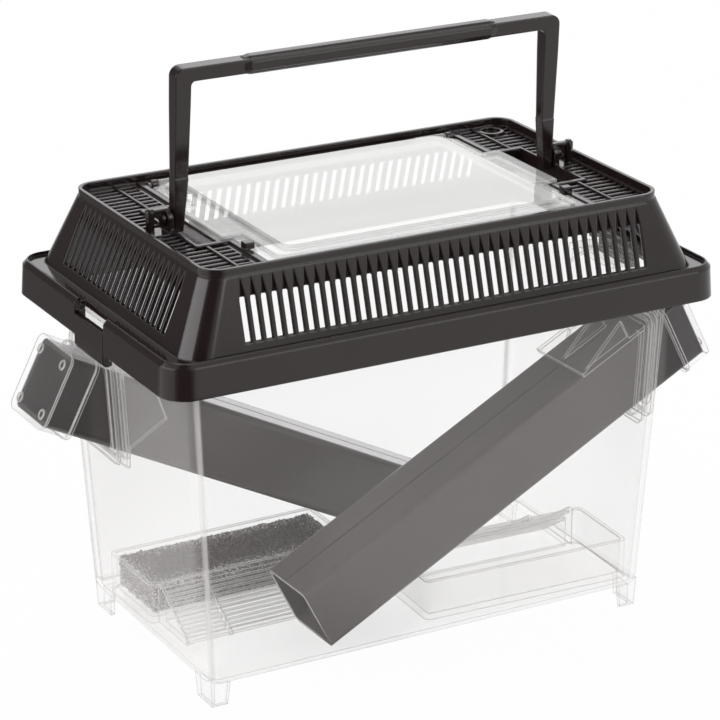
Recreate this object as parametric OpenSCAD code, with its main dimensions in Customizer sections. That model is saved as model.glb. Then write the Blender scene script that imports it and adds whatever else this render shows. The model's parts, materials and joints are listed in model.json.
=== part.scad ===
// Clear keeper for feeder insects: a tapered tank, a slatted black hood with a
// carrying handle and a see-through hatch, two slanting tubes with clear caps,
// and two clear dishes with stepped ramps, one of them holding a sponge.
// +X runs along the long side, +Y to the back, +Z up; z = 0 is under the feet.

/* [Tank] */
// Length of the tank outside, at its floor
tank_base_x = 151; // [149:0.5:152]
// Width of the tank outside, at its floor
tank_base_y = 84.2; // [83:0.1:85]
// Length of the tank outside, where the hood's lower edge comes
tank_top_x = 162; // [160:0.5:163]
// Width of the tank outside, where the hood's lower edge comes
tank_top_y = 92; // [91:0.1:93]
// Height from the floor's underside to the hood's lower edge
tank_h = 97.3; // [96:0.1:99]
// Wall thickness of the tank
tank_wall = 1.8; // [1.4:0.1:2]
// Height of the four corner feet
foot_h = 6.8; // [5:0.1:8]

/* [Hood] */
// Length of the hood's brim
brim_x = 184; // [182:1:186]
// Width of the hood's brim
brim_y = 111; // [110:1:112]
// Height of the brim
brim_h = 10.6; // [10:0.1:11]
// Length of the slatted slope where it meets the brim
slope_base_x = 172; // [171:0.5:174]
// Width of the slatted slope where it meets the brim
slope_base_y = 106; // [105:0.5:107]
// Length of the hood at its top rim
rim_x = 151.6; // [150:0.2:153]
// Width of the hood at its top rim
rim_y = 91.6; // [90.6:0.2:92.6]
// Height of the top rim over the brim's lower edge
rim_h = 33.1; // [32.5:0.1:34]
// Number of slots in each long slope
long_slots = 40; // [30:1:40]
// Number of slots in each end slope
end_slots = 21; // [15:1:21]
// Distance from one slope slot to the next
slot_pitch = 3.37; // [3.2:0.01:3.37]
// Number of gaps in each deck grille
deck_gaps = 28; // [20:2:28]

/* [Handle] */
// Height of the handle's top over the brim's lower edge
handle_top = 79.6; // [77:0.1:82]
// Half the handle's outside width
handle_half = 64.3; // [64:0.1:64.5]
// Length of the thicker grip in the middle
grip_len = 84; // [70:1:90]

/* [Tubes] */
// Outside width of the square tubes
tube_w = 22.4; // [21.6:0.1:22.6]
// Slope of the tubes down into the tank, in degrees
tube_pitch = 27; // [27:0.2:28]
// How far the right tube reaches in, past the tank wall
right_reach = 131.6; // [125:0.1:131.6]
// How far the left tube reaches in, past the tank wall
left_reach = 126.6; // [120:0.1:126.6]
// How far the tubes stand out of the tank wall
tube_out = 18.4; // [17:0.1:19]

/* [Dishes] */
// Length of a dish
dish_x = 71; // [66:0.5:71]
// Width of a dish's deep compartment
dish_y = 29; // [28:0.5:29]
// Height of a dish
dish_h = 12.8; // [11:0.1:13]
// Length of the stepped ramp
ramp_len = 18; // [15:0.5:18]
// Number of steps in the ramp
ramp_steps = 7; // [5:1:8]

/* [Hidden] */
$fn = 48;

clear = [0.95, 0.96, 0.95, 0.35];
black = [0.16, 0.15, 0.16];
thin = 0.01;
gap = 0.3;                       // room between pieces that move past each other
brim_z = foot_h + tank_h;        // the hood's lower edge
floor_top = foot_h + 1.6;
draft_x = (tank_top_x - tank_base_x) / 2 / tank_h;
draft_y = (tank_top_y - tank_base_y) / 2 / tank_h;
corner_r = 5.5;

// hood levels over the brim's lower edge
ledge_h = 9.6;
ledge_t = 1.9;
deck_h = 30.5;
deck_t = 2;
hood_wall = 2;
slope_wall = 1.2;
rim_wall = 1.2;
rim_r = 6.4;
slope_r = 8;
brim_r = 8.3;
tank_rim_h = ledge_h - ledge_t - gap;
slope_low = ledge_h - ledge_t;
slope_high = deck_h + 0.2;
slot_w = 2.1;
slot_low = 12.5;
slot_high = 24.4;
slot_tip = 30.2;                 // where the blind point over a slot runs out
slot_back = 0.1;                 // depth of that point's tip
deck_pitch = 3.05;
deck_gap = 1.9;
grille_in = 57;
grille_out = 74;

// hatch and its frame in the deck
frame_x = 53.5;
frame_y = 41.5;
frame_w = 2;
seat_w = 2;
plateau_x = 46;
plateau_y = 37;
hatch_t = 1.2;
hatch_low = deck_h - 0.9;
hatch_step = 1.2;
hatch_back = 38.1;               // the flange's back edge
hatch_front = -41.1;
hatch_pin_y = 39.8;
hatch_pin_h = deck_h + 0.5;
hatch_pin_r = 0.8;
lug_x = 50.4;
lug_w = 2;
ear_x = 56.6;
ear_y = 17;
pocket_x = 64.9;
pocket_y = 17.6;
pocket_deep = 3.2;
frame_rise = 0.7;                // how far the hatch's frame stands over the deck
catch_y = -27;

// handle pivots
handle_lean = 3;                 // the handle stands this many degrees forward
pivot_h = 34.2;
pivot_r = 1.2;
pin_head_r = 1.7;
pin_head_t = 1.1;
post_in = 64.9;
post_w = 1.6;
post_r = 2.5;
peg_at = 71.3;
running = 0.06;

// latches
latch_w = 19.4;
latch_top = 6.2;
latch_low = -4.3;
latch_t = 1.9;
latch_pin_h = 3.6;
latch_pin_in = 1.3;
latch_pin_r = 0.8;
latch_pin_len = 1.6;
notch_w = 20.2;
notch_in = 87.9;

// tubes and ports
port_y = 23.8;
right_port_h = -25.6;            // under the brim's lower edge
left_port_h = -27.8;
right_turn = 1.8;
left_turn = 0;
tube_wall = 1.5;
tube_r = 2.2;
sleeve_in = tube_w + 2 * gap;
sleeve_t = 1.2;
sleeve_w = sleeve_in + 2 * sleeve_t;
port_w = sleeve_w + 0.2;
flange_over = 2.2;
cap_len = 9.6;
cap_t = 1.1;
cap_in = tube_w + 0.3;
wall_lean = atan(draft_x);

// dishes
dish_wall = 1.4;
dish_turn_left = 0.5;
dish_turn_right = 178;
water_x = -73.3;
water_y = 2.6;
food_x = 73.3;
food_y = -9.2;

module rounded_rect(x, y, r) {
    square([x - 2 * r, y], center = true);
    square([x, y - 2 * r], center = true);
    for (sx = [-1, 1], sy = [-1, 1])
        translate([sx * (x / 2 - r), sy * (y / 2 - r)]) circle(r);
}

module slab(x, y, r, z, h) {
    translate([0, 0, z]) linear_extrude(h) rounded_rect(x, y, r);
}

// A rounded box that widens from one rounded rectangle to another.
module taper(x0, y0, r0, z0, x1, y1, r1, z1) {
    hull() {
        slab(x0, y0, r0, z0, thin);
        slab(x1, y1, r1, z1 - thin, thin);
    }
}

module both_ends() {
    for (a = [0, 180]) rotate(a) children();
}

// Puts children in the right port's frame: +X out along the tube, +Z square to it.
module along_right_tube() {
    translate([wall_x(right_port_h), -port_y, brim_z + right_port_h])
        rotate([0, -tube_pitch, right_turn]) children();
}

module along_left_tube() {
    rotate(180) translate([wall_x(left_port_h), -port_y, brim_z + left_port_h])
        rotate([0, -tube_pitch, left_turn]) children();
}

function wall_x(h) = tank_top_x / 2 + h * draft_x;
function wall_y(h) = tank_top_y / 2 + h * draft_y;

// The hood slope's length and width outside, at a height over the brim's lower edge.
function slope_x(h) = slope_base_x
    + (rim_x + 0.6 - slope_base_x) * (h - slope_low) / (slope_high - slope_low);
function slope_y(h) = slope_base_y
    + (rim_y + 0.6 - slope_base_y) * (h - slope_low) / (slope_high - slope_low);

// ---------------------------------------------------------------- tank

module tank_shell(inset, low, high) {
    taper(2 * (wall_x(low) - inset), 2 * (wall_y(low) - inset), corner_r - inset, brim_z + low,
        2 * (wall_x(high) - inset), 2 * (wall_y(high) - inset), corner_r - inset, brim_z + high);
}

// The tank's outside, with its lower edge rounded off.
module tank_body() {
    hull() {
        for (edge = [[2.6, 0], [1, 0.8], [0.2, 2], [0, 3.2]])
            slab(2 * (wall_x(edge[1] - tank_h) - edge[0]), 2 * (wall_y(edge[1] - tank_h) - edge[0]),
                corner_r - edge[0], foot_h + edge[1], thin);
        slab(2 * wall_x(tank_rim_h), 2 * wall_y(tank_rim_h), corner_r,
            brim_z + tank_rim_h - thin, thin);
    }
}

// A corner foot: an angle of two thin tapering blades, open to the inside.
module foot() {
    root_h = foot_h + 2.4;
    blade_x = 6.6;
    blade_y = 11;
    blade_t = 1.8;
    in_x = tank_base_x / 2 - 1.2;
    in_y = tank_base_y / 2 - 1.2;
    module angle(shrink, z) {
        translate([in_x - blade_x + shrink, in_y - blade_y + shrink, z])
            cube([blade_x - 1.5 * shrink, blade_y - 1.5 * shrink, thin]);
    }
    difference() {
        hull() {
            angle(0.9, 0);
            angle(0, root_h);
        }
        translate([in_x - blade_x - 1, in_y - blade_y - 1, -1])
            cube([blade_x + 1 - blade_t, blade_y + 1 - blade_t, foot_h + 1]);
    }
}

// The clear ledge with two side cheeks that each latch hooks under.
module latch_catch() {
    ledge_out = notch_in + 0.6;
    ledge_in = wall_x(-2) - 1;
    half_w = 12.6;
    cheek_t = 1.6;
    ledge_top = -1.1;
    ledge_low = -2.6;
    cheek_low = -7.6;
    translate([ledge_in, -half_w, brim_z + ledge_low])
        cube([ledge_out - ledge_in, 2 * half_w, ledge_top - ledge_low]);
    for (side = [-1, 1]) translate([0, side * (half_w - cheek_t / 2) + cheek_t / 2, brim_z])
        rotate([90, 0, 0]) linear_extrude(cheek_t)
            polygon([[ledge_in, ledge_top], [ledge_out, ledge_top],
                [ledge_out, ledge_low - 1.2], [wall_x(cheek_low) - 0.6, cheek_low]]);
}

module port_window() {
    cube([24, port_w, port_w], center = true);
}

module tank() {
    color(clear) difference() {
        union() {
            tank_body();
            slab(175, 103, 7, brim_z + tank_rim_h - 1.6, 1.6);
            for (sx = [0, 1], sy = [0, 1]) mirror([sx, 0, 0]) mirror([0, sy, 0]) foot();
            both_ends() latch_catch();
        }
        tank_shell(tank_wall, -tank_h + 1.6, tank_rim_h + 1);
        along_right_tube() port_window();
        along_left_tube() port_window();
    }
}

// ---------------------------------------------------------------- ports and tubes

module square_bar(w, r, from, to) {
    translate([from, 0, 0]) rotate([90, 0, 90]) linear_extrude(to - from) rounded_rect(w, w, r);
}

// Space between two planes parallel to the end wall, in the frame of a tube that is
// turned by this many degrees.
module wall_slice(from, to, turn) {
    rotate([0, tube_pitch, 0]) rotate([0, 0, -turn]) rotate([0, wall_lean, 0])
        translate([from, -40, -40]) cube([to - from, 80, 80]);
}

// The clear insert that carries a tube through the end wall. It has a flange on
// each face of the wall, a roof over the tube inside, and a pointed side cheek.
module port_sleeve(turn) {
    roof_in = 22;
    inner_face = -tank_wall - 0.05;
    difference() {
        union() {
            intersection() {
                square_bar(sleeve_w, 2.6, -20, 14);
                wall_slice(inner_face - 2.4, 1.6, turn);
            }
            for (f = [[0.05, 1.2], [inner_face - 1.2, inner_face]]) intersection() {
                square_bar(sleeve_w + 2 * flange_over, 2.6, -20, 20);
                wall_slice(f[0], f[1], turn);
            }
            intersection() {
                union() {
                    translate([-roof_in, -sleeve_w / 2, sleeve_in / 2])
                        cube([roof_in + 10, sleeve_w, sleeve_t]);
                    translate([0, sleeve_w / 2, 0]) rotate([90, 0, 0]) linear_extrude(sleeve_t)
                        polygon([[8, sleeve_w / 2], [-8, sleeve_w / 2], [-18, 3],
                            [-10, -sleeve_w / 2 + 3], [-4, -sleeve_w / 2]]);
                    for (y = [-sleeve_w / 2, -sleeve_t / 2]) translate([0, y + sleeve_t, 0])
                        rotate([90, 0, 0]) linear_extrude(sleeve_t)
                        polygon([[-roof_in + 1, sleeve_w / 2 - 0.2], [-3, sleeve_w / 2 - 0.2],
                            [-3, sleeve_w / 2 + 6.5]]);
                }
                wall_slice(-60, inner_face - 0.1, turn);
            }
        }
        square_bar(sleeve_in, 2.4, -40, 30);
    }
}

// A square tube with a shallow mould line along its top and its underside.
module tube(reach) {
    difference() {
        square_bar(tube_w, tube_r, -reach, tube_out);
        square_bar(tube_w - 2 * tube_wall, tube_r - 1, -reach - 1, tube_out + 1);
        for (side = [-1, 1]) translate([-reach - 1, -0.4, side * tube_w / 2 - 0.25])
            cube([reach + 1 - 7, 0.8, 0.5]);
    }
}

module tube_cap() {
    cap_w = cap_in + 2 * cap_t;
    cap_end = tube_out + 0.2 + 1.3;
    pip = 8;
    difference() {
        square_bar(cap_w, 3.2, cap_end - cap_len, cap_end);
        square_bar(cap_in, 2.3, cap_end - cap_len - 1, cap_end - 1.3);
    }
    for (y = [-pip, pip], z = [-pip, pip]) translate([cap_end - 0.01, y, z])
        rotate([0, 90, 0]) difference() {
            cylinder(h = 0.35, r = 1.5);
            translate([0, 0, 0.15]) cylinder(h = 1, r = 1.1);
        }
    translate([cap_end - cap_len, 0, 0]) difference() {
        square_bar(cap_w + 0.9, 3.4, 0, 1.1);
        square_bar(cap_in, 2.3, -1, 2);
    }
}

module port_sleeve_right() { color(clear) along_right_tube() port_sleeve(right_turn); }
module port_sleeve_left() { color(clear) along_left_tube() port_sleeve(left_turn); }
module tube_right() { color(black) along_right_tube() tube(right_reach); }
module tube_left() { color(black) along_left_tube() tube(left_reach); }
module tube_cap_right() { color(clear) along_right_tube() tube_cap(); }
module tube_cap_left() { color(clear) along_left_tube() tube_cap(); }

// ---------------------------------------------------------------- hood

// Puts children at each slot of the long slopes, or of the end slopes.
module long_slot_places() {
    for (i = [0 : long_slots - 1]) translate([(i - (long_slots - 1) / 2) * slot_pitch, 0, 0])
        children();
}

module end_slot_places() {
    for (i = [0 : end_slots - 1]) translate([0, (i - (end_slots - 1) / 2) * slot_pitch, 0])
        rotate(90) children();
}

// A bar that runs right through the hood and cuts a slot in both of its slopes.
module slot_bar(length) {
    translate([-slot_w / 2, -length / 2, slot_low]) cube([slot_w, length, slot_high - slot_low]);
}

// A bar with the outline of the blind point over a slot.
module slot_point(length) {
    rotate([90, 0, 0]) translate([0, 0, -length / 2]) linear_extrude(length)
        polygon([[-slot_w / 2, slot_high - 0.4], [slot_w / 2, slot_high - 0.4], [0, slot_tip]]);
}

module slope_slots() {
    back_x = slope_x(slot_tip) - 2 * slot_back;
    back_y = slope_y(slot_tip) - 2 * slot_back;
    long_slot_places() slot_bar(140);
    end_slot_places() slot_bar(200);
    difference() {
        long_slot_places() slot_point(140);
        translate([-100, -back_y / 2, slot_low]) cube([200, back_y, 30]);
    }
    difference() {
        end_slot_places() slot_point(200);
        translate([-back_x / 2, -100, slot_low]) cube([back_x, 200, 30]);
    }
}

// What the handle's pin turns in: a plate with a round top beside the deck pocket,
// a slim peg further out, and a bar over the pin's head that joins them.
module handle_post() {
    foot_y = 3;
    peg_r = 1.25;
    cap_r = 1.5;
    peg_top = 37.8;
    bar_h = 1.2;
    bar_y = 1.8;
    translate([post_in, 0, 0]) rotate([90, 0, 90]) linear_extrude(post_w) {
        translate([0, pivot_h]) circle(post_r);
        polygon([[-foot_y, deck_h - 1], [foot_y, deck_h - 1], [post_r - 0.1, pivot_h],
            [-post_r + 0.1, pivot_h]]);
    }
    translate([post_in + 0.4, -bar_y / 2, pivot_h + pin_head_r + gap])
        cube([peg_at - post_in - 0.4, bar_y, bar_h]);
    translate([peg_at, 0, deck_h - 1]) {
        cylinder(h = peg_top - 1 - deck_h, r = peg_r);
        translate([0, 0, peg_top - 1.6 - deck_h]) cylinder(h = 1.8, r = cap_r);
        translate([0, 0, peg_top + 0.2 - deck_h]) cylinder(h = 0.8, r1 = cap_r, r2 = 0.8);
    }
}

module hood_shell() {
    band_t = 1.5;
    difference() {
        union() {
            taper(brim_x, brim_y, brim_r, 0, brim_x - 0.9, brim_y - 0.9, brim_r, brim_h - 1.4);
            taper(brim_x - 0.9, brim_y - 0.9, brim_r, brim_h - 1.5,
                brim_x - 3.4, brim_y - 3.4, brim_r - 1.2, brim_h);
        }
        slab(brim_x - 4.6, brim_y - 4, brim_r - 2, ledge_h, 5);
        slab(brim_x - 2 * hood_wall, brim_y - 2 * hood_wall, brim_r - hood_wall, -1,
            1 + ledge_h - ledge_t);
        slab(slope_base_x - 6, slope_base_y - 6, slope_r - 2, -1, 20);
    }
    difference() {
        union() {
            taper(slope_x(slope_low), slope_y(slope_low), slope_r, slope_low,
                slope_x(slope_high), slope_y(slope_high), rim_r, slope_high);
            slab(rim_x, rim_y, rim_r, deck_h - 1, rim_h - deck_h + 1);
        }
        // thin behind the slots, thicker from their tops to the deck
        taper(slope_x(slope_low) - 2 * slope_wall, slope_y(slope_low) - 2 * slope_wall,
            slope_r - slope_wall, slope_low - 0.1,
            slope_x(slot_high) - 2 * slope_wall, slope_y(slot_high) - 2 * slope_wall,
            rim_r - slope_wall, slot_high);
        slab(slope_x(slope_high) - 2 * band_t, slope_y(slope_high) - 2 * band_t, rim_r - band_t,
            slot_high - 0.1, deck_h - deck_t - slot_high + 0.1);
        slab(rim_x - 2 * rim_wall, rim_y - 2 * rim_wall, rim_r - rim_wall, deck_h, 5);
        slope_slots();
    }
}

// The recess beside the hatch that its ear and the handle's foot sit in.
module pocket_space() {
    translate([frame_x - 1, -pocket_y, deck_h - pocket_deep])
        cube([pocket_x + 1 - frame_x, 2 * pocket_y, 8]);
}

module deck_cuts() {
    for (i = [0 : deck_gaps - 1])
        translate([grille_in, (i - (deck_gaps - 1) / 2) * deck_pitch - deck_gap / 2, deck_h - 4])
            cube([grille_out - grille_in, deck_gap, 5]);
    pocket_space();
}

// Deck furniture at the right-hand end; the left-hand end has the same, turned round.
module deck_end() {
    rib_x = 62.6;
    frame_len = 2 * frame_y + 2;
    tray_wall = 1.6;
    pad_y = 7;
    tray_x = pocket_x + 1 - frame_x;
    tray_y = 2 * (pocket_y + tray_wall);
    difference() {
        union() {
            translate([rib_x - 0.5, -rim_y / 2 + 2, deck_h - 1.4]) cube([1, rim_y - 4, 1.9]);
            translate([frame_x, -frame_len / 2, deck_h - deck_t])
                cube([frame_w + 1.6, frame_len, deck_t]);
            translate([frame_x, -frame_len / 2, deck_h - 1])
                cube([frame_w, frame_len, 1 + frame_rise]);
            translate([frame_x, -tray_y / 2, deck_h - pocket_deep - 1])
                cube([tray_x, tray_y, pocket_deep + 1 + frame_rise]);
            translate([pocket_x, -pad_y / 2, deck_h - deck_t])
                cube([grille_out - pocket_x, pad_y, deck_t]);
        }
        pocket_space();
    }
    handle_post();
}

// The seat that the hatch rests on, inside its frame.
module hatch_seat() {
    low = deck_h - deck_t - 1;
    back_w = frame_y - hatch_back + 1.1;
    difference() {
        translate([-frame_x - 1, -frame_y - 1, low])
            cube([2 * frame_x + 2, 2 * frame_y + 2, hatch_low - gap - low]);
        translate([-frame_x + seat_w, -frame_y + seat_w, low - 1])
            cube([2 * (frame_x - seat_w), 2 * frame_y - seat_w - back_w, 9]);
        both_ends() pocket_space();
    }
}

module hatch_lugs() {
    for (side = [0, 1]) mirror([side, 0, 0]) translate([lug_x, 0, 0]) {
        translate([0, hatch_pin_y - 1.5, deck_h - 2]) cube([lug_w, frame_y - hatch_pin_y + 2, 2.5]);
        translate([0, hatch_pin_y, hatch_pin_h]) rotate([0, 90, 0]) cylinder(h = lug_w, r = 1.5);
    }
}

module hood() {
    ring_x = 66.8;
    ring_y = 38.6;
    color(black) translate([0, 0, brim_z]) difference() {
        union() {
            difference() {
                hood_shell();
                both_ends() deck_cuts();
                translate([-frame_x, -frame_y, deck_h - 5]) cube([2 * frame_x, 2 * frame_y, 5.5]);
            }
            hatch_seat();
            for (side = [-1, 1])
                translate([-frame_x - frame_w, side * (frame_y + 1) - 1, deck_h - 1])
                    cube([2 * (frame_x + frame_w), 2, 1 + frame_rise]);
            both_ends() deck_end();
            hatch_lugs();
            for (side = [0, 1]) mirror([side, 0, 0])
                translate([frame_x - 1.6, catch_y - 1.3, deck_h + 0.6]) cube([3, 2.6, 1.9]);
            both_ends() for (side = [-1, 1])
                translate([notch_in + 0.2, side * (notch_w / 2 + 1.2) - 1.3, 0]) cube([2.2, 2.6, 8]);
            translate([ring_x, ring_y, deck_h - deck_t]) cylinder(h = deck_t + 0.7, r = 4.2);
        }
        translate([ring_x, ring_y, deck_h - 0.6]) cylinder(h = 5, r = 2.9);
        for (side = [-1, 1]) {
            translate([side * (post_in + post_w / 2) - 4, 0, pivot_h]) rotate([0, 90, 0])
                cylinder(h = 8, r = pivot_r + running);
            translate([side * (lug_x + lug_w / 2) - 2, hatch_pin_y, hatch_pin_h]) rotate([0, 90, 0])
                cylinder(h = 4, r = hatch_pin_r + running);
        }
        both_ends() translate([notch_in, -notch_w / 2, -1]) cube([9, notch_w, 14]);
        both_ends() translate([brim_x / 2 - latch_pin_in, 0, latch_pin_h]) rotate([90, 0, 0])
            cylinder(h = latch_w + 2 * latch_pin_len + 0.4, r = latch_pin_r + running, center = true);
    }
}

// ---------------------------------------------------------------- handle

leg_low = pivot_h - 4.2;
leg_seam = pivot_h + 12;

// Half of the handle's outline, seen from the front.
module handle_outline() {
    inner_low = 61.5;
    inner_seam = 59.9;
    inner_high = 59.3;
    bar_low = handle_top - 4.2;
    corner = 3;
    fillet = 1.5;
    difference() {
        union() {
            polygon([[0, leg_low], [0, handle_top], [handle_half - corner, handle_top],
                [handle_half, handle_top - corner], [handle_half, leg_low]]);
            translate([handle_half - corner, handle_top - corner]) circle(corner);
        }
        polygon([[-1, bar_low], [inner_high - fillet, bar_low], [inner_high, bar_low - fillet],
            [inner_seam, leg_seam], [inner_low, leg_low], [inner_low, leg_low - 1],
            [-1, leg_low - 1]]);
        translate([inner_high - fillet, bar_low - fillet]) circle(fillet);
    }
}

// The handle's outline from the side: a plain foot, a seam, and a leg that widens.
module handle_side() {
    foot_y = 1.9;
    seam_y = 1.65;
    top_y = 2.2;
    polygon([[-foot_y, leg_low - 1], [foot_y, leg_low - 1], [foot_y, leg_seam], [seam_y, leg_seam],
        [top_y, leg_seam + 22], [top_y, handle_top + 1], [-top_y, handle_top + 1],
        [-top_y, leg_seam + 22], [-seam_y, leg_seam], [-foot_y, leg_seam]]);
}

module handle() {
    grip_mid = handle_top - 2.1;
    head_in = post_in + post_w + gap;
    color(black) translate([0, 0, brim_z + pivot_h]) rotate([handle_lean, 0, 0])
        translate([0, 0, -pivot_h]) {
        for (side = [0, 1]) mirror([side, 0, 0]) {
            intersection() {
                translate([0, 5, 0]) rotate([90, 0, 0]) linear_extrude(10) handle_outline();
                rotate([90, 0, 90]) linear_extrude(handle_half + 1) handle_side();
            }
            translate([handle_half - 1, 0, pivot_h]) rotate([0, 90, 0]) {
                cylinder(h = head_in + pin_head_t - handle_half + 1, r = pivot_r);
                translate([0, 0, head_in - handle_half + 1])
                    cylinder(h = pin_head_t, r = pin_head_r);
            }
        }
        // the grip: an eight-sided bar with short tapered ends
        hull() {
            translate([0, 0, grip_mid]) rotate([0, 90, 0]) rotate(22.5)
                cylinder(h = grip_len - 4, r = 3.05, center = true, $fn = 8);
            translate([0, 0, grip_mid]) rotate([0, 90, 0]) rotate(22.5)
                cylinder(h = grip_len, r = 2.5, center = true, $fn = 8);
        }
    }
}

// ---------------------------------------------------------------- hatch

module hatch() {
    low = hatch_low;
    step_x = 50;
    step_y = 38.4;
    skin = 1.2;
    mid_y = (hatch_back + hatch_front) / 2;
    knuckle_x = 40;
    knuckle_len = lug_x - gap - knuckle_x;
    color(clear) translate([0, 0, brim_z]) difference() {
        union() {
            // outer flange, a step and the raised plateau
            translate([0, mid_y, 0]) {
                slab(2 * (frame_x - 0.4), hatch_back - hatch_front, 2, low, hatch_t);
                slab(2 * step_x, 2 * step_y, 3, low, hatch_t + hatch_step);
            }
            taper(2 * plateau_x + 2, 2 * plateau_y + 1, 4, low + hatch_t + hatch_step - 0.1,
                2 * plateau_x, 2 * plateau_y - 1, 4, low + hatch_t + 2 * hatch_step + 0.1);
            for (side = [0, 1]) mirror([side, 0, 0]) translate([plateau_x, -ear_y, low])
                cube([ear_x - plateau_x, 2 * ear_y, hatch_t + hatch_step]);
            // hinge knuckles
            for (side = [0, 1]) mirror([side, 0, 0]) {
                translate([knuckle_x, hatch_pin_y, hatch_pin_h]) rotate([0, 90, 0])
                    cylinder(h = knuckle_len, r = 1.3);
                translate([knuckle_x, hatch_pin_y - 3, low]) cube([knuckle_len, 3, hatch_t]);
                translate([lug_x - gap - 1, hatch_pin_y, hatch_pin_h]) rotate([0, 90, 0])
                    cylinder(h = lug_w + 2 * gap + 1.2, r = hatch_pin_r);
            }
        }
        // hollow underside
        translate([0, mid_y, 0])
            slab(2 * (step_x - skin), 2 * (step_y - skin), 2, low - 1, hatch_step + 1);
        slab(2 * (plateau_x - skin), 2 * (plateau_y - skin) - 1, 3, low - 1, 2 * hatch_step + 1.1);
        for (side = [0, 1]) mirror([side, 0, 0])
            translate([step_x - skin - 1, -ear_y + skin, low - 1])
                cube([ear_x - step_x + 1, 2 * (ear_y - skin), hatch_step + 1]);
        // notches that clear the frame's two nubs
        for (side = [0, 1]) mirror([side, 0, 0])
            translate([frame_x - 2.2, catch_y - 1.8, low - 1]) cube([4, 3.6, 8]);
    }
}

// ---------------------------------------------------------------- latches

// A latch tab that fills the notch in the brim, with a lip turned in at its foot.
module latch() {
    color(black) translate([brim_x / 2, 0, brim_z]) {
        rotate([90, 0, 0]) translate([0, 0, -latch_w / 2]) linear_extrude(latch_w)
            polygon([[-0.3, latch_top], [-latch_t - 0.2, latch_top], [-latch_t - 0.2, latch_low + 1.6],
                [-3.1, latch_low + 1.4], [-3.1, latch_low + 0.4], [-2, latch_low],
                [-0.9, latch_low], [0, latch_low + 1.4], [0, 0.6]]);
        translate([-latch_pin_in, 0, latch_pin_h]) rotate([90, 0, 0])
            cylinder(h = latch_w + 2 * latch_pin_len, r = latch_pin_r, center = true);
    }
}

module latch_right() { latch(); }
module latch_left() { rotate(180) latch(); }

// ---------------------------------------------------------------- dishes

// A deep compartment with a stepped ramp along its front, from its left corner.
module dish() {
    rib_at = 17.8;
    step_h = (dish_h - 1) / ramp_steps;
    step_l = ramp_len / ramp_steps;
    difference() {
        translate([dish_x / 2, dish_y / 2, 0]) slab(dish_x, dish_y, 2, 0, dish_h);
        translate([dish_x / 2, dish_y / 2, 0])
            slab(dish_x - 2 * dish_wall, dish_y - 2 * dish_wall, 1, dish_wall, dish_h);
    }
    difference() {
        union() {
            for (i = [0 : ramp_steps - 1]) translate([4, -ramp_len + i * step_l, 0])
                cube([dish_x - 8, (ramp_steps - i) * step_l + 0.5, 1 + i * step_h]);
            for (x = [3, rib_at, dish_x - 4]) translate([x, 0, 0]) rotate([90, 0, 90])
                linear_extrude(1) polygon([[0.5, 0], [0.5, dish_h], [-1.5, dish_h],
                    [-ramp_len - 0.6, 1.2], [-ramp_len - 0.6, 0]]);
        }
        for (i = [1 : ramp_steps - 1]) translate([5.2, -ramp_len + i * step_l + 1.2, -1])
            cube([dish_x - 10.4, (ramp_steps - i) * step_l - 1, i * step_h + 0.8]);
    }
}

module food_dish() {
    color(clear) translate([food_x, food_y, floor_top + gap]) rotate(dish_turn_right) dish();
}

module water_dish() {
    color(clear) translate([water_x, water_y, floor_top + gap]) rotate(dish_turn_left) dish();
}

module sponge() {
    clear_side = 0.3;
    clear_top = 0.4;
    color([0.4, 0.38, 0.37]) translate([water_x, water_y, floor_top + gap]) rotate(dish_turn_left)
        translate([dish_x / 2, dish_y / 2, 0])
        slab(dish_x - 2 * (dish_wall + clear_side), dish_y - 2 * (dish_wall + clear_side), 2,
            dish_wall + gap, dish_h - dish_wall - gap - clear_top);
}

tank();
port_sleeve_right();
port_sleeve_left();
hood();
handle();
hatch();
latch_right();
latch_left();
tube_right();
tube_left();
tube_cap_right();
tube_cap_left();
food_dish();
water_dish();
sponge();
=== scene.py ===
# %% [markdown]
# # A keeper for feeder insects
# This lesson dresses a small clear tank with a slatted black hood. The frame already
# holds every rigid piece at its real size, so most of the work is in the plastics:
# a glossy black, a satin black, and three kinds of clear. Only the sponge is soft, so
# it is the one piece that is modelled here.

# %% Load the frame
import json
import math
import bpy
from mathutils import Matrix, Vector


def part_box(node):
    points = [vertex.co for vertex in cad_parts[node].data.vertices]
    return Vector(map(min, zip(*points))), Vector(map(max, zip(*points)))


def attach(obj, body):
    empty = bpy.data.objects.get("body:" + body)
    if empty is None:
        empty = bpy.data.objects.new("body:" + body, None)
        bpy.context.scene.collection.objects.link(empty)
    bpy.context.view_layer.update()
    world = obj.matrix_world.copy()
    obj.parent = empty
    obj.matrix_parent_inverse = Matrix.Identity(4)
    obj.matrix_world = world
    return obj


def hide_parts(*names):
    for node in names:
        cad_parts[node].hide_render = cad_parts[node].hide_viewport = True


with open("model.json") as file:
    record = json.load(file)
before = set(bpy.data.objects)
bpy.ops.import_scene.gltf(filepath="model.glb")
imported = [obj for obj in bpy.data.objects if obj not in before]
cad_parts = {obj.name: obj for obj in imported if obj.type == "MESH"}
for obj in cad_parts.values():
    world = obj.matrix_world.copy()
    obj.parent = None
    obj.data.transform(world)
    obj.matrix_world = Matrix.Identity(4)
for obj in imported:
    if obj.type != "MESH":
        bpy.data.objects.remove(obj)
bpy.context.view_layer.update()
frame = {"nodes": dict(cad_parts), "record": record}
nodes = frame["nodes"]
print("pieces in the frame:", len(nodes))

# %% [markdown]
# ## The camera
# A long lens from a little under a metre keeps the box's edges nearly parallel. The
# camera is placed by two angles and a distance from one aim point, because those are
# the numbers that a photographer would change. The tank is many thin walls one behind
# another, so a line of sight may pass through more of them than Blender's usual limit.

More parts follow.
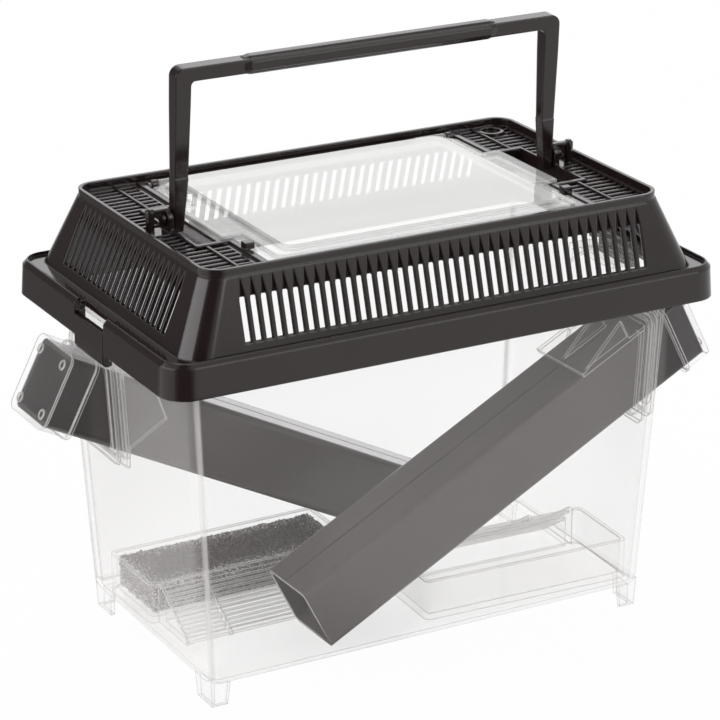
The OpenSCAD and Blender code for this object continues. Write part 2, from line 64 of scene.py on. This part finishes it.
# %% Camera
CAMERA_AZIMUTH = math.radians(-28.8)
CAMERA_ELEVATION = math.radians(20.97)
CAMERA_DISTANCE = 0.9592
CAMERA_AIM = Vector((-0.0021, 0.0, 0.0825))
LENS = 157.25
WALLS_IN_LINE = 32


def add_camera():
    level = math.cos(CAMERA_ELEVATION)
    back = Vector((math.sin(CAMERA_AZIMUTH) * level,
                   -math.cos(CAMERA_AZIMUTH) * level,
                   math.sin(CAMERA_ELEVATION)))
    data = bpy.data.cameras.new("camera")
    data.lens = LENS
    data.sensor_width = 36.0
    camera = bpy.data.objects.new("camera", data)
    camera.location = CAMERA_AIM + back * CAMERA_DISTANCE
    camera.rotation_mode = "QUATERNION"
    camera.rotation_quaternion = (-back).to_track_quat("-Z", "Y")
    bpy.context.scene.collection.objects.link(camera)
    bpy.context.scene.camera = camera
    return camera


camera = add_camera()
bpy.context.scene.view_settings.view_transform = "Standard"
bpy.context.scene.cycles.transparent_max_bounces = WALLS_IN_LINE
print("camera at", [round(v, 3) for v in camera.location])

# %% [markdown]
# ## Small helpers for node trees
# Every material below is a handful of nodes and links. A node's input takes either a
# link or a constant, so one helper feeds it with whichever it is given. The others are
# built on that one, and they keep each material short enough to read in one go.

# %% Node helpers
def feed(tree, socket, value):
    """Links a socket to another one, or sets it to a constant."""
    if isinstance(value, bpy.types.NodeSocket):
        tree.links.new(value, socket)
    else:
        socket.default_value = value


def add_node(tree, kind, settings=(), **values):
    """A new node with its settings, and its inputs fed by name."""
    made = tree.nodes.new(kind)
    for name, value in dict(settings).items():
        setattr(made, name, value)
    for name, value in values.items():
        feed(tree, made.inputs[name.replace("_", " ")], value)
    return made


def add_maths(tree, operation, first, second):
    made = add_node(tree, "ShaderNodeMath", {"operation": operation})
    feed(tree, made.inputs[0], first)
    feed(tree, made.inputs[1], second)
    return made.outputs[0]


def add_vector_maths(tree, operation, *values):
    made = add_node(tree, "ShaderNodeVectorMath", {"operation": operation})
    for socket, value in zip(made.inputs, values):
        feed(tree, socket, value)
    return made


print("node helpers ready")

# %% [markdown]
# ## Masks and blends
# A finish is mostly masks: numbers from 0 to 1 that say where an effect is. One helper
# makes a mask between two values of anything, one spreads a mask over a range, and two
# more blend colours and shaders by a mask.

# %% Mask helpers
def mask_between(tree, source, start, full):
    """0 where the source is at start, 1 where it is at full, and even in between."""
    mask = add_node(tree, "ShaderNodeMapRange", Value=source, From_Min=start, From_Max=full)
    return mask.outputs["Result"]


def spread(tree, mask, low, high):
    """Turns a mask from 0 to 1 into values from low to high."""
    wide = add_node(tree, "ShaderNodeMapRange", Value=mask, To_Min=low, To_Max=high)
    return wide.outputs["Result"]


def blend_colours(tree, mask, first, second):
    """Blends two colours, each a socket or a plain red, green and blue."""
    mix = add_node(tree, "ShaderNodeMix", {"data_type": "RGBA"}, Factor=mask)
    colours = [socket for socket in mix.inputs if socket.type == "RGBA"]
    for socket, colour in zip(colours, (first, second)):
        feed(tree, socket, (*colour, 1.0) if isinstance(colour, tuple) else colour)
    return next(socket for socket in mix.outputs if socket.type == "RGBA")


def blend_shaders(tree, mask, first, second):
    mix = add_node(tree, "ShaderNodeMixShader")
    for socket, source in zip(mix.inputs, (mask, first.outputs[0], second.outputs[0])):
        tree.links.new(source, socket)
    return mix


print("mask helpers ready")

# %% [markdown]
# ## Starting a material
# Each finish starts from Blender's Principled shader. Patterns read Object coordinates,
# which stay fixed to the piece when it moves.

# %% Material helpers
def start_material(name):
    material = bpy.data.materials.new(name)
    material.use_nodes = True
    tree = material.node_tree
    plastic = tree.nodes["Principled BSDF"]
    return material, tree, plastic


def show(tree, shader):
    tree.links.new(shader.outputs[0], tree.nodes["Material Output"].inputs["Surface"])


def piece_place(tree):
    """The place on the piece."""
    return add_node(tree, "ShaderNodeTexCoord").outputs["Object"]


def split_axes(tree, vector):
    """The X, Y and Z of a place or a normal."""
    return add_node(tree, "ShaderNodeSeparateXYZ", Vector=vector).outputs


print("material helpers ready")

# %% [markdown]
# ## The studio
# The studio is a pale sweep. The floor shows as white to the camera and through clear
# plastic, while the lamps stay at a plain level, so that no colour is washed out. A
# Light Path node tells these rays apart. Glossy black shows only what stands around
# it, so reflections see a ring of pale and dark walls: the sweep behind the table, a
# dim gap, a pale wall on the left and the unlit front of the room. Without it every
# glossy face would turn the same grey.

# %% Studio values
FLOOR_GLOW = 0.97
WORLD_LEVEL = 0.5
ROOM_RING = ((0.0, 0.9), (0.055, 0.8), (0.10, 0.04), (0.215, 0.04), (0.27, 0.92),
             (0.40, 1.0), (0.52, 1.0), (0.74, 1.0), (0.80, 0.2), (0.88, 0.2), (0.92, 0.9))


def seen_directly(tree):
    """1 for camera, glossy and transmission rays, and 0 for the rest."""
    rays = add_node(tree, "ShaderNodeLightPath").outputs
    shown = add_maths(tree, "MAXIMUM", rays["Is Camera Ray"], rays["Is Glossy Ray"])
    return add_maths(tree, "MAXIMUM", shown, rays["Is Transmission Ray"]), rays


def room_ring(tree, coordinates):
    """How pale the room is, by the direction round the table, starting at the left."""
    place = add_node(tree, "ShaderNodeTexCoord").outputs[coordinates]
    turn = add_node(tree, "ShaderNodeTexGradient", {"gradient_type": "RADIAL"}, Vector=place)
    walls = add_node(tree, "ShaderNodeValToRGB")
    stops = walls.color_ramp.elements
    stops[1].position = ROOM_RING[-1][0]
    for where, level in ROOM_RING[1:-1]:
        stops.new(where)
    for stop, (where, level) in zip(stops, ROOM_RING):
        stop.color = (level, level, level, 1.0)
    tree.links.new(turn.outputs["Fac"], walls.inputs["Fac"])
    return walls.outputs["Color"]


print("walls in the ring:", len(ROOM_RING))

# %% [markdown]
# ## Floor
# The floor is one wide sheet. Nearly all of it glows for the rays that look at it, and
# a small share stays ordinary paint, so that it keeps the object's faint shadow.

# %% Floor
def floor_material():
    material, tree, paint = start_material("pale_floor")
    paint.inputs["Base Color"].default_value = (0.9, 0.9, 0.9, 1.0)
    paint.inputs["Roughness"].default_value = 0.9
    paint.inputs["Specular IOR Level"].default_value = 0.0
    seen, rays = seen_directly(tree)
    level = add_node(tree, "ShaderNodeMix", {"data_type": "FLOAT"},
                     Factor=rays["Is Glossy Ray"], A=1.0, B=room_ring(tree, "Object"))
    glow = add_node(tree, "ShaderNodeEmission", Strength=level.outputs["Result"])
    share = add_maths(tree, "MULTIPLY", seen, FLOOR_GLOW)
    show(tree, blend_shaders(tree, share, paint, glow))
    return material


def add_floor(half):
    mesh = bpy.data.meshes.new("floor")
    corners = [(-half, -half, 0), (half, -half, 0), (half, half, 0), (-half, half, 0)]
    mesh.from_pydata(corners, [], [(0, 1, 2, 3)])
    floor = bpy.data.objects.new("floor", mesh)
    bpy.context.scene.collection.objects.link(floor)
    mesh.materials.append(floor_material())


add_floor(half=8.0)
print("floor ready")

# %% [markdown]
# ## World and lamps
# The world gives an even fill, and glossy rays see the ring in it too. Four softboxes
# shape the plastics: a key from above and behind, a front one for the slopes and tubes,
# a long one on the left that draws a bright line down the hood's rounded corner, and a
# weak one behind.

# %% World
def add_world():
    world = bpy.data.worlds.new("studio")
    world.use_nodes = True
    bpy.context.scene.world = world
    tree = world.node_tree
    plain = tree.nodes["Background"]
    plain.inputs["Color"].default_value = (1.0, 1.0, 1.0, 1.0)
    plain.inputs["Strength"].default_value = WORLD_LEVEL
    pale = add_node(tree, "ShaderNodeBackground", Strength=1.0)
    room = add_node(tree, "ShaderNodeBackground", Strength=room_ring(tree, "Generated"))
    seen, rays = seen_directly(tree)
    direct = blend_shaders(tree, seen, plain, pale)
    glossy = blend_shaders(tree, rays["Is Glossy Ray"], direct, room)
    tree.links.new(glossy.outputs[0], tree.nodes["World Output"].inputs["Surface"])


add_world()
print("world level:", WORLD_LEVEL)

# %% Lamps
LAMP_AIM = Vector((0.0, 0.0, 0.1))


def add_softbox(name, place, width, height, watts):
    data = bpy.data.lights.new(name, "AREA")
    data.shape = "RECTANGLE"
    data.size = width
    data.size_y = height
    data.energy = watts
    lamp = bpy.data.objects.new(name, data)
    lamp.location = place
    lamp.rotation_mode = "QUATERNION"
    lamp.rotation_quaternion = (LAMP_AIM - Vector(place)).to_track_quat("-Z", "Y")
    bpy.context.scene.collection.objects.link(lamp)


add_softbox("key_softbox", place=(0.35, 0.55, 1.25), width=0.75, height=0.75, watts=4.6)
add_softbox("front_softbox", place=(0.55, -1.1, 0.75), width=0.7, height=0.7, watts=3.9)
add_softbox("side_softbox", place=(-1.10, 0.155, 0.55), width=1.28, height=0.6, watts=6.4)
add_softbox("back_softbox", place=(0.63, 1.15, 0.72), width=0.8, height=0.8, watts=2.0)
print("lamps:", len(bpy.data.lights))

# %% [markdown]
# ## One shared effect: the skin of moulded plastic
# Moulded plastic is never perfectly even. It carries the mould's fine grain, slow
# swirls where it cooled, and upright draw lines along the way it left the mould. All
# the plastics share one group that gives these as masks and a height, and each material
# sets its own scales.

# %% Moulded skin group
SKIN_INPUTS = {"Grain Scale": 2500.0, "Swirl Scale": 28.0, "Line Scale": 700.0,
               "Line Share": 0.3}
LINE_STRETCH = (1.0, 1.0, 0.03)
WEAR_SPAN = (0.55, 0.75)


def build_moulded_skin():
    group = bpy.data.node_groups.new("moulded_skin", "ShaderNodeTree")
    for name, value in SKIN_INPUTS.items():
        socket = group.interface.new_socket(name, in_out="INPUT", socket_type="NodeSocketFloat")
        socket.default_value = value
    for name in ("Height", "Tone", "Wear"):
        group.interface.new_socket(name, in_out="OUTPUT", socket_type="NodeSocketFloat")
    given = group.nodes.new("NodeGroupInput").outputs
    out = group.nodes.new("NodeGroupOutput").inputs
    place = piece_place(group)
    upright = add_node(group, "ShaderNodeMapping", Vector=place, Scale=LINE_STRETCH)
    grain = add_node(group, "ShaderNodeTexNoise", Vector=place, Scale=given["Grain Scale"],
                     Detail=3.0, Roughness=0.6)
    swirl = add_node(group, "ShaderNodeTexNoise", Vector=place, Scale=given["Swirl Scale"],
                     Detail=4.0, Roughness=0.55, Distortion=0.6)
    line = add_node(group, "ShaderNodeTexNoise", Vector=upright.outputs["Vector"],
                    Scale=given["Line Scale"], Detail=2.0)
    height = add_node(group, "ShaderNodeMix", {"data_type": "FLOAT"},
                      Factor=given["Line Share"], A=grain.outputs["Fac"],
                      B=line.outputs["Fac"])
    feed(group, out["Height"], height.outputs["Result"])
    feed(group, out["Tone"], swirl.outputs["Fac"])
    feed(group, out["Wear"], mask_between(group, line.outputs["Fac"], *WEAR_SPAN))
    return group


moulded_skin = build_moulded_skin()
print("skin group inputs:", list(SKIN_INPUTS))

# %% Using the skin
def add_skin(tree, grain, swirl, line, line_share):
    skin = add_node(tree, "ShaderNodeGroup", {"node_tree": moulded_skin})
    for name, value in zip(SKIN_INPUTS, (grain, swirl, line, line_share)):
        skin.inputs[name].default_value = value
    return skin.outputs


def bump(tree, height, shader, distance):
    relief = add_node(tree, "ShaderNodeBump", Height=height, Distance=distance, Strength=1.0)
    feed(tree, shader.inputs["Normal"], relief.outputs["Normal"])
    return relief


print("skin outputs: height, tone and wear")

# %% [markdown]
# ## Effects that only the tubes have
# A tube's satin surface turns into a mirror where it is seen at a grazing angle, so its
# far top face looks nearly white. A clear coat whose weight follows that angle gives
# this and leaves the other faces satin. Both tubes are painted darker past the end
# walls: a painted shade, because no pale wall stands close beside them there.

# %% Tube effects
# Where the painted shade on the tubes' ends begins and where it is full.
END_WALL = (0.0855, 0.0875)
GRAZING = (0.7, 0.86)
GLAZE_ROUGHNESS = 0.04
GLAZE_IOR = 2.0


def paint_shade_past_ends(tree, colour, shaded_ends_colour):
    """Paints shade into a tube's colour where it stands outside the tank, away from the pale
    walls.
    """
    sideways = add_maths(tree, "ABSOLUTE", split_axes(tree, piece_place(tree))["X"], 0.0)
    past = mask_between(tree, sideways, *END_WALL)
    return blend_colours(tree, past, colour, shaded_ends_colour)


def glaze(tree, plastic):
    """Adds a clear coat that is seen only at grazing angles."""
    angle = add_node(tree, "ShaderNodeLayerWeight", Blend=0.5)
    coat = mask_between(tree, angle.outputs["Facing"], *GRAZING)
    feed(tree, plastic.inputs["Coat Weight"], coat)
    plastic.inputs["Coat Roughness"].default_value = GLAZE_ROUGHNESS
    plastic.inputs["Coat IOR"].default_value = GLAZE_IOR


print("tubes darken from", 1000 * END_WALL[0], "mm on")

# %% [markdown]
# ## Black plastics
# The hood, handle and latches are glossy and nearly black, and most of what the eye
# reads on them is reflected light. A Bevel node rounds the shading along every edge,
# so the rims catch the thin bright lines that a real moulding has. The tubes are a
# paler satin black whose fine relief is nearly all draw lines. The right tube is the
# same plastic, but it stands nearer to the pale front of the tank, so it gets a paler
# copy of the colour: a painted lift of light.

# %% Black plastics
BLACK_IOR = 1.5


def black_plastic(name, dark, pale, rough, edge, grain_depth, line_share, shaded_ends_colour=None):
    material, tree, plastic = start_material(name)
    skin = add_skin(tree, grain=2600.0, swirl=30.0, line=650.0, line_share=line_share)
    colour = blend_colours(tree, skin["Tone"], dark, pale)
    if shaded_ends_colour:
        # Tubes only: painted shade past the tank's end walls, and the grazing coat.
        colour = paint_shade_past_ends(tree, colour, shaded_ends_colour)
        glaze(tree, plastic)
    feed(tree, plastic.inputs["Base Color"], colour)
    feed(tree, plastic.inputs["Roughness"], spread(tree, skin["Tone"], *rough))
    relief = bump(tree, skin["Height"], plastic, grain_depth)
    soft_edge = add_node(tree, "ShaderNodeBevel", {"samples": 6}, Radius=edge)
    feed(tree, relief.inputs["Normal"], soft_edge.outputs["Normal"])
    plastic.inputs["IOR"].default_value = BLACK_IOR
    return material


def tube_plastic(name, dark, pale, shaded_ends_colour):
    return black_plastic(name, dark, pale, rough=(0.26, 0.36), edge=0.0004,
                         grain_depth=0.0000005, line_share=0.9, shaded_ends_colour=shaded_ends_colour)


hood_black = black_plastic("hood_black", dark=(0.0155, 0.0085, 0.0088),
                           pale=(0.0205, 0.0125, 0.0128), rough=(0.08, 0.17), edge=0.0008,
                           grain_depth=0.000004, line_share=0.2)
# The last colour of each tube is its painted shade outside the tank.
tube_black = tube_plastic("tube_black", dark=(0.064, 0.053, 0.053),
                          pale=(0.080, 0.067, 0.067), shaded_ends_colour=(0.046, 0.039, 0.039))
# The right tube's paler copy is a painted lift of light from the pale tank front.
tube_painted_paler = tube_plastic("tube_painted_paler", dark=(0.100, 0.088, 0.088),
                         pale=(0.126, 0.111, 0.111), shaded_ends_colour=(0.034, 0.029, 0.029))
print("black plastics:", hood_black.name, tube_black.name, tube_painted_paler.name)

# %% [markdown]
# ## A second shared effect: lines along the edges of a clear wall
# Along an edge a thin clear wall is seen on end, so it shows a line. A shared group
# finds those lines as the places where a bevelled normal leaves the true one. The line
# is painted dark at its flank and white at its core, a painted shade and a painted
# highlight for the light that the edge bends and reflects, so it reads on dark and on
# white. The group also finds rounded corners, whose normals lie between the axes.

# %% Edge line group
LINE_SPANS = {"Line": (0.997, 0.95), "Core": (0.93, 0.86)}
CORNER_SPAN = (0.86, 0.73)
LINE_RADIUS = 0.0007


def largest_part(tree, normal):
    """The largest of a normal's three parts, which is 1 where it lies along an axis."""
    parts = split_axes(tree, add_vector_maths(tree, "ABSOLUTE", normal).outputs["Vector"])
    level = add_maths(tree, "MAXIMUM", parts["X"], parts["Y"])
    return add_maths(tree, "MAXIMUM", level, parts["Z"])


def build_edge_lines():
    group = bpy.data.node_groups.new("edge_lines", "ShaderNodeTree")
    radius = group.interface.new_socket("Radius", in_out="INPUT", socket_type="NodeSocketFloat")
    radius.default_value = LINE_RADIUS
    for name in (*LINE_SPANS, "Corner"):
        group.interface.new_socket(name, in_out="OUTPUT", socket_type="NodeSocketFloat")
    group.interface.new_socket("Normal", in_out="OUTPUT", socket_type="NodeSocketVector")
    given = group.nodes.new("NodeGroupInput").outputs
    out = group.nodes.new("NodeGroupOutput").inputs
    rounded = add_node(group, "ShaderNodeBevel", {"samples": 6},
                       Radius=given["Radius"]).outputs["Normal"]
    true = add_node(group, "ShaderNodeNewGeometry").outputs["True Normal"]
    match = add_vector_maths(group, "DOT_PRODUCT", rounded, true).outputs["Value"]
    for name, span in LINE_SPANS.items():
        feed(group, out[name], mask_between(group, match, *span))
    feed(group, out["Corner"], mask_between(group, largest_part(group, rounded), *CORNER_SPAN))
    feed(group, out["Normal"], rounded)
    return group


edge_lines = build_edge_lines()
print("edge line group:", [s.name for s in edge_lines.interface.items_tree])

# %% [markdown]
# ## Clear plastics
# The walls are thin, so what is behind them shows almost unbent. Solid glass would
# bend it and fill every edge with black, so these plastics are a pale skin that is
# nearly absent face on and gathers at grazing angles, as the shine of a thin wall does.
# Layer Weight gives that angle. Rays that only carry lamp light pass straight through,
# or the tank's inside would be in shadow. The hatch's raised top is fogged, and a mask
# by height keeps the fog off its lower flange.

# %% Body of a clear wall
STEEPNESS = 3.5
FLANGE_TOP = (0.1366, 0.1372)
HATCH_BODY = (0.28, 0.66)


def fog_by_height(tree, start, full, clear, fogged):
    """The body of a wall that is clear below one height and fogged above another."""
    height = split_axes(tree, piece_place(tree))["Z"]
    return spread(tree, mask_between(tree, height, start, full), clear, fogged)


def wall_body(tree, lines, body, edge, line, corner):
    """How solid the wall looks: its face, its lines or its corners, whichever is most."""
    angle = add_node(tree, "ShaderNodeLayerWeight", Blend=0.5)
    steep = add_maths(tree, "POWER", angle.outputs["Facing"], STEEPNESS)
    at_line = add_maths(tree, "MULTIPLY", lines["Line"], line)
    at_corner = add_maths(tree, "MULTIPLY", lines["Corner"], corner)
    drawn = add_maths(tree, "MAXIMUM", at_line, at_corner)
    return add_maths(tree, "MAXIMUM", spread(tree, steep, body, edge), drawn)


print("hatch fog starts at", 1000 * FLANGE_TOP[0], "mm")

# %% Clear plastics
CLEAR_IOR = 1.9


def clear_plastic(name, pale, grey, painted_dark_flank, painted_bright_core, body, edge, line, corner, rough, fog=None):
    material, tree, plastic = start_material(name)
    skin = add_skin(tree, grain=900.0, swirl=14.0, line=420.0, line_share=0.6)
    lines = add_node(tree, "ShaderNodeGroup", {"node_tree": edge_lines},
                     Radius=LINE_RADIUS).outputs
    face = blend_colours(tree, skin["Tone"], grey, pale)
    # The flank and core colours are painted: a dark painted shade and a white painted highlight
    # along each edge.
    drawn = blend_colours(tree, lines["Line"], face, painted_dark_flank)
    feed(tree, plastic.inputs["Base Color"], blend_colours(tree, lines["Core"], drawn, painted_bright_core))
    feed(tree, plastic.inputs["Roughness"], spread(tree, skin["Wear"], *rough))
    feed(tree, plastic.inputs["Normal"], lines["Normal"])
    plastic.inputs["IOR"].default_value = CLEAR_IOR
    low = fog_by_height(tree, *fog) if fog else body
    feed(tree, plastic.inputs["Alpha"], wall_body(tree, lines, low, edge, line, corner))
    through = add_node(tree, "ShaderNodeBsdfTransparent")
    rays = add_node(tree, "ShaderNodeLightPath").outputs
    show(tree, blend_shaders(tree, rays["Is Shadow Ray"], plastic, through))
    return material


tank_clear = clear_plastic("tank_clear", pale=(0.95, 0.92, 0.91), grey=(0.86, 0.83, 0.82),
                           painted_dark_flank=(0.34, 0.33, 0.33), painted_bright_core=(0.95, 0.94, 0.93), body=0.05,
                           edge=0.6, line=0.5, corner=0.45, rough=(0.03, 0.08))
insert_clear = clear_plastic("insert_clear", pale=(0.93, 0.91, 0.90), grey=(0.78, 0.76, 0.75),
                             painted_dark_flank=(0.30, 0.29, 0.29), painted_bright_core=(1.0, 0.99, 0.98), body=0.02,
                             edge=0.45, line=0.85, corner=0.0, rough=(0.04, 0.1))
hatch_clear = clear_plastic("hatch_clear", pale=(0.88, 0.88, 0.87), grey=(0.80, 0.80, 0.79),
                            painted_dark_flank=(0.25, 0.25, 0.25), painted_bright_core=(0.97, 0.97, 0.96),
                            body=HATCH_BODY[0], edge=0.6, line=0.6, corner=0.2,
                            rough=(0.05, 0.12), fog=(*FLANGE_TOP, *HATCH_BODY))
print("clear plastics:", tank_clear.name, insert_clear.name, hatch_clear.name)

# %% [markdown]
# ## Put the finishes on the rigid pieces
# Each rigid piece keeps its own mesh, and only its material changes. The record says
# which finish belongs to which piece, so one small table is enough. The right tube is
# the one exception: it gets a paler copy of the tube plastic, a painted lift of light.

# %% Dress the rigid pieces
FINISHES = {"clear_tank": tank_clear, "clear_insert": insert_clear, "clear_hatch": hatch_clear,
            "black_plastic": hood_black, "tube_plastic": tube_black}


def dress(node_name, material):
    mesh = nodes[node_name].data
    mesh.materials.clear()
    mesh.materials.append(material)


for entry in frame["record"]["subparts"]:
    if entry["material_slot"] in FINISHES:
        dress(entry["node"], FINISHES[entry["material_slot"]])
# The right tube takes the copy painted paler for the light from the pale tank front.
dress("tube_right", tube_painted_paler)
print("dressed:", len([n for n in nodes if nodes[n].data.materials]))

# %% [markdown]
# ## Sponge size
# The sponge takes its size from the frame, so it is measured before anything is made.
# It lies half a degree askew, which makes its box a little larger than the block, and
# the two lines of algebra take that out again. Lengths are in metres.

# %% Sponge size
DISH_TURN = math.radians(0.5)


def sponge_size():
    low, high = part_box("sponge")
    wide = high - low
    turn, across = math.cos(DISH_TURN), abs(math.sin(DISH_TURN))
    length = (wide.x * turn - wide.y * across) / (turn ** 2 - across ** 2)
    width = (wide.y * turn - wide.x * across) / (turn ** 2 - across ** 2)
    return (low + high) / 2, Vector((length, width, wide.z))


sponge_middle, sponge_full = sponge_size()
print("sponge block in mm:", [round(1000 * v, 1) for v in sponge_full])

# %% [markdown]
# ## Sponge material
# Open-cell sponge is dark inside its holes and paler on the walls between them; the
# dark in the holes is painted shade. A cell pattern gives that at the scale of the real
# holes, with a rough dry surface. Along the cut edges the torn walls let light through,
# and pale specks paint that light, thicker there. A place is on an edge where two of its
# three distances from the block's middle are near the end.

# %% Sponge edges
CRUMB = 0.0006
EDGE_BAND = 0.009


def near_edges(tree, place, middle, full):
    """1 along the edges of a block, and 0 on the rest of its faces."""
    centred = add_vector_maths(tree, "SUBTRACT", place, middle).outputs["Vector"]
    distances = split_axes(tree, add_vector_maths(tree, "ABSOLUTE", centred).outputs["Vector"])
    ends = [mask_between(tree, distances[axis], side / 2 - EDGE_BAND, side / 2 - 2 * CRUMB)
            for axis, side in zip("XYZ", full)]
    pairs = [add_maths(tree, "MINIMUM", ends[i], ends[(i + 1) % 3]) for i in range(3)]
    return add_maths(tree, "MAXIMUM", add_maths(tree, "MAXIMUM", pairs[0], pairs[1]), pairs[2])


print("speckled band in mm:", 1000 * EDGE_BAND)

# %% Sponge material
CELL_SCALE = 1300.0
CELL_SPAN = (0.1, 0.6)
SPECK_SCALE = 2200.0
SPECK_SPAN = (0.70, 0.78)
EDGE_LIFT = 0.23


def sponge_material(middle, full):
    material, tree, foam = start_material("dark_sponge")
    place = piece_place(tree)
    cells = add_node(tree, "ShaderNodeTexVoronoi", Vector=place,
                     Scale=CELL_SCALE).outputs["Distance"]
    # The cell colour is painted shade: darker deep in each hole, paler on the walls between.
    shaded_cells = blend_colours(tree, mask_between(tree, cells, *CELL_SPAN),
                          (0.072, 0.065, 0.064), (0.150, 0.136, 0.133))
    specks = add_node(tree, "ShaderNodeTexNoise", Vector=place, Scale=SPECK_SCALE, Detail=1.0)
    lift = add_maths(tree, "MULTIPLY", near_edges(tree, place, middle, full), EDGE_LIFT)
    lifted = add_maths(tree, "ADD", specks.outputs["Fac"], lift)
    # The pale specks are painted light that shines through the torn cell walls.
    lit_specks = mask_between(tree, lifted, *SPECK_SPAN)
    feed(tree, foam.inputs["Base Color"],
         blend_colours(tree, lit_specks, shaded_cells, (0.66, 0.64, 0.63)))
    foam.inputs["Roughness"].default_value = 0.95
    foam.inputs["Specular IOR Level"].default_value = 0.15
    bump(tree, cells, foam, 0.0002)
    return material


sponge_dark = sponge_material(sponge_middle, sponge_full)
print("sponge material:", sponge_dark.name)

# %% [markdown]
# ## The sponge
# The sponge is a cut block of coarse filter foam, so its form is a box with a crumbly
# skin. A Geometry Nodes tree makes both: it pushes a fine mesh in and out with noise,
# and it scatters short crumbs over the surface for the torn cell walls. The block is
# the size of the frame's solid, a little smaller so that the crumbs fit inside it.

# %% Values of the sponge tree
CRUMB_ROOM = 2.2 * CRUMB
BLOCK_STEP = 0.0007
BUMP_SCALE = 600.0
MOSTLY_IN = 0.62
SMALLEST_CRUMB = (0.5, 0.25, 0.25)
LARGEST_CRUMB = (1.5, 0.7, 0.7)
SPONGE_INPUTS = {"Size": ("NodeSocketVector", tuple(v - CRUMB_ROOM for v in sponge_full)),
                 "Push": ("NodeSocketFloat", 0.0010),
                 "Crumb": ("NodeSocketFloat", CRUMB),
                 "Density": ("NodeSocketFloat", 900000.0),
                 "Seed": ("NodeSocketInt", 7)}
print("points along the block:", int(sponge_full.x / BLOCK_STEP))

# %% Pushed block and crumbs
def push_block(tree, given):
    """A box of small faces, pushed in and out by noise."""
    counts = [int(side / BLOCK_STEP) for side in sponge_full]
    block = add_node(tree, "GeometryNodeMeshCube", Size=given["Size"], Vertices_X=counts[0],
                     Vertices_Y=counts[1], Vertices_Z=counts[2])
    noise = add_node(tree, "ShaderNodeTexNoise", Scale=BUMP_SCALE, Detail=2.0)
    less = add_maths(tree, "SUBTRACT", noise.outputs["Fac"], MOSTLY_IN)
    normal = add_node(tree, "GeometryNodeInputNormal").outputs[0]
    offset = add_vector_maths(tree, "SCALE", normal)
    feed(tree, offset.inputs["Scale"], add_maths(tree, "MULTIPLY", less, given["Push"]))
    moved = add_node(tree, "GeometryNodeSetPosition", Geometry=block.outputs["Mesh"],
                     Offset=offset.outputs[0])
    return moved.outputs["Geometry"]


def strew_crumbs(tree, given, skin):
    """Short crumbs of random size and turn, all over the pushed faces."""
    points = add_node(tree, "GeometryNodeDistributePointsOnFaces", Mesh=skin,
                      Density=given["Density"], Seed=given["Seed"])
    crumb = add_node(tree, "GeometryNodeMeshIcoSphere", Subdivisions=1, Radius=given["Crumb"])
    size = add_node(tree, "FunctionNodeRandomValue", {"data_type": "FLOAT_VECTOR"},
                    Min=SMALLEST_CRUMB, Max=LARGEST_CRUMB, Seed=given["Seed"])
    turn = add_node(tree, "FunctionNodeRandomValue", {"data_type": "FLOAT_VECTOR"},
                    Max=(math.tau, math.tau, math.tau), Seed=given["Seed"])
    strew = add_node(tree, "GeometryNodeInstanceOnPoints", Points=points.outputs["Points"],
                     Instance=crumb.outputs["Mesh"], Scale=size.outputs[0],
                     Rotation=turn.outputs[0])
    return strew.outputs["Instances"]


print("longest crumb in mm:", round(2000 * CRUMB * LARGEST_CRUMB[0], 2))

# %% Sponge tree
def build_sponge_tree():
    tree = bpy.data.node_groups.new("sponge_block", "GeometryNodeTree")
    for name, (kind, value) in SPONGE_INPUTS.items():
        socket = tree.interface.new_socket(name, in_out="INPUT", socket_type=kind)
        socket.default_value = value
    tree.interface.new_socket("Mesh", in_out="OUTPUT", socket_type="NodeSocketGeometry")
    given = tree.nodes.new("NodeGroupInput").outputs
    out = tree.nodes.new("NodeGroupOutput").inputs
    skin = push_block(tree, given)
    joined = add_node(tree, "GeometryNodeJoinGeometry")
    tree.links.new(skin, joined.inputs[0])
    tree.links.new(strew_crumbs(tree, given, skin), joined.inputs[0])
    real = add_node(tree, "GeometryNodeRealizeInstances", Geometry=joined.outputs[0])
    finish = add_node(tree, "GeometryNodeSetMaterial", Geometry=real.outputs[0],
                      Material=sponge_dark)
    feed(tree, out["Mesh"], finish.outputs[0])
    return tree


sponge_tree = build_sponge_tree()
print("sponge tree inputs:", list(SPONGE_INPUTS))

# %% [markdown]
# ## Turn the tree into a piece
# The tree runs once on an empty object, and its result becomes a plain mesh with its
# place in it. That mesh rides on the sponge's body and stands for the frame's solid.

# %% Finished sponge
def set_input(modifier, tree, name, value):
    for socket in tree.interface.items_tree:
        if socket.name == name and socket.in_out == "INPUT":
            modifier[socket.identifier] = value


def make_sponge(tree):
    holder = bpy.data.objects.new("sponge_maker", bpy.data.meshes.new("sponge_maker"))
    bpy.context.scene.collection.objects.link(holder)
    modifier = holder.modifiers.new("block", "NODES")
    modifier.node_group = tree
    for name, (kind, value) in SPONGE_INPUTS.items():
        set_input(modifier, tree, name, value)
    bpy.context.view_layer.update()
    solved = holder.evaluated_get(bpy.context.evaluated_depsgraph_get())
    mesh = bpy.data.meshes.new_from_object(solved)
    bpy.data.objects.remove(holder)
    mesh.transform(Matrix.Translation(sponge_middle) @ Matrix.Rotation(DISH_TURN, 4, "Z"))
    piece = bpy.data.objects.new("sponge_block", mesh)
    bpy.context.scene.collection.objects.link(piece)
    return piece


sponge = make_sponge(sponge_tree)
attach(sponge, "sponge")
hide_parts("sponge")
print("sponge triangles:", sum(len(p.vertices) - 2 for p in sponge.data.polygons))
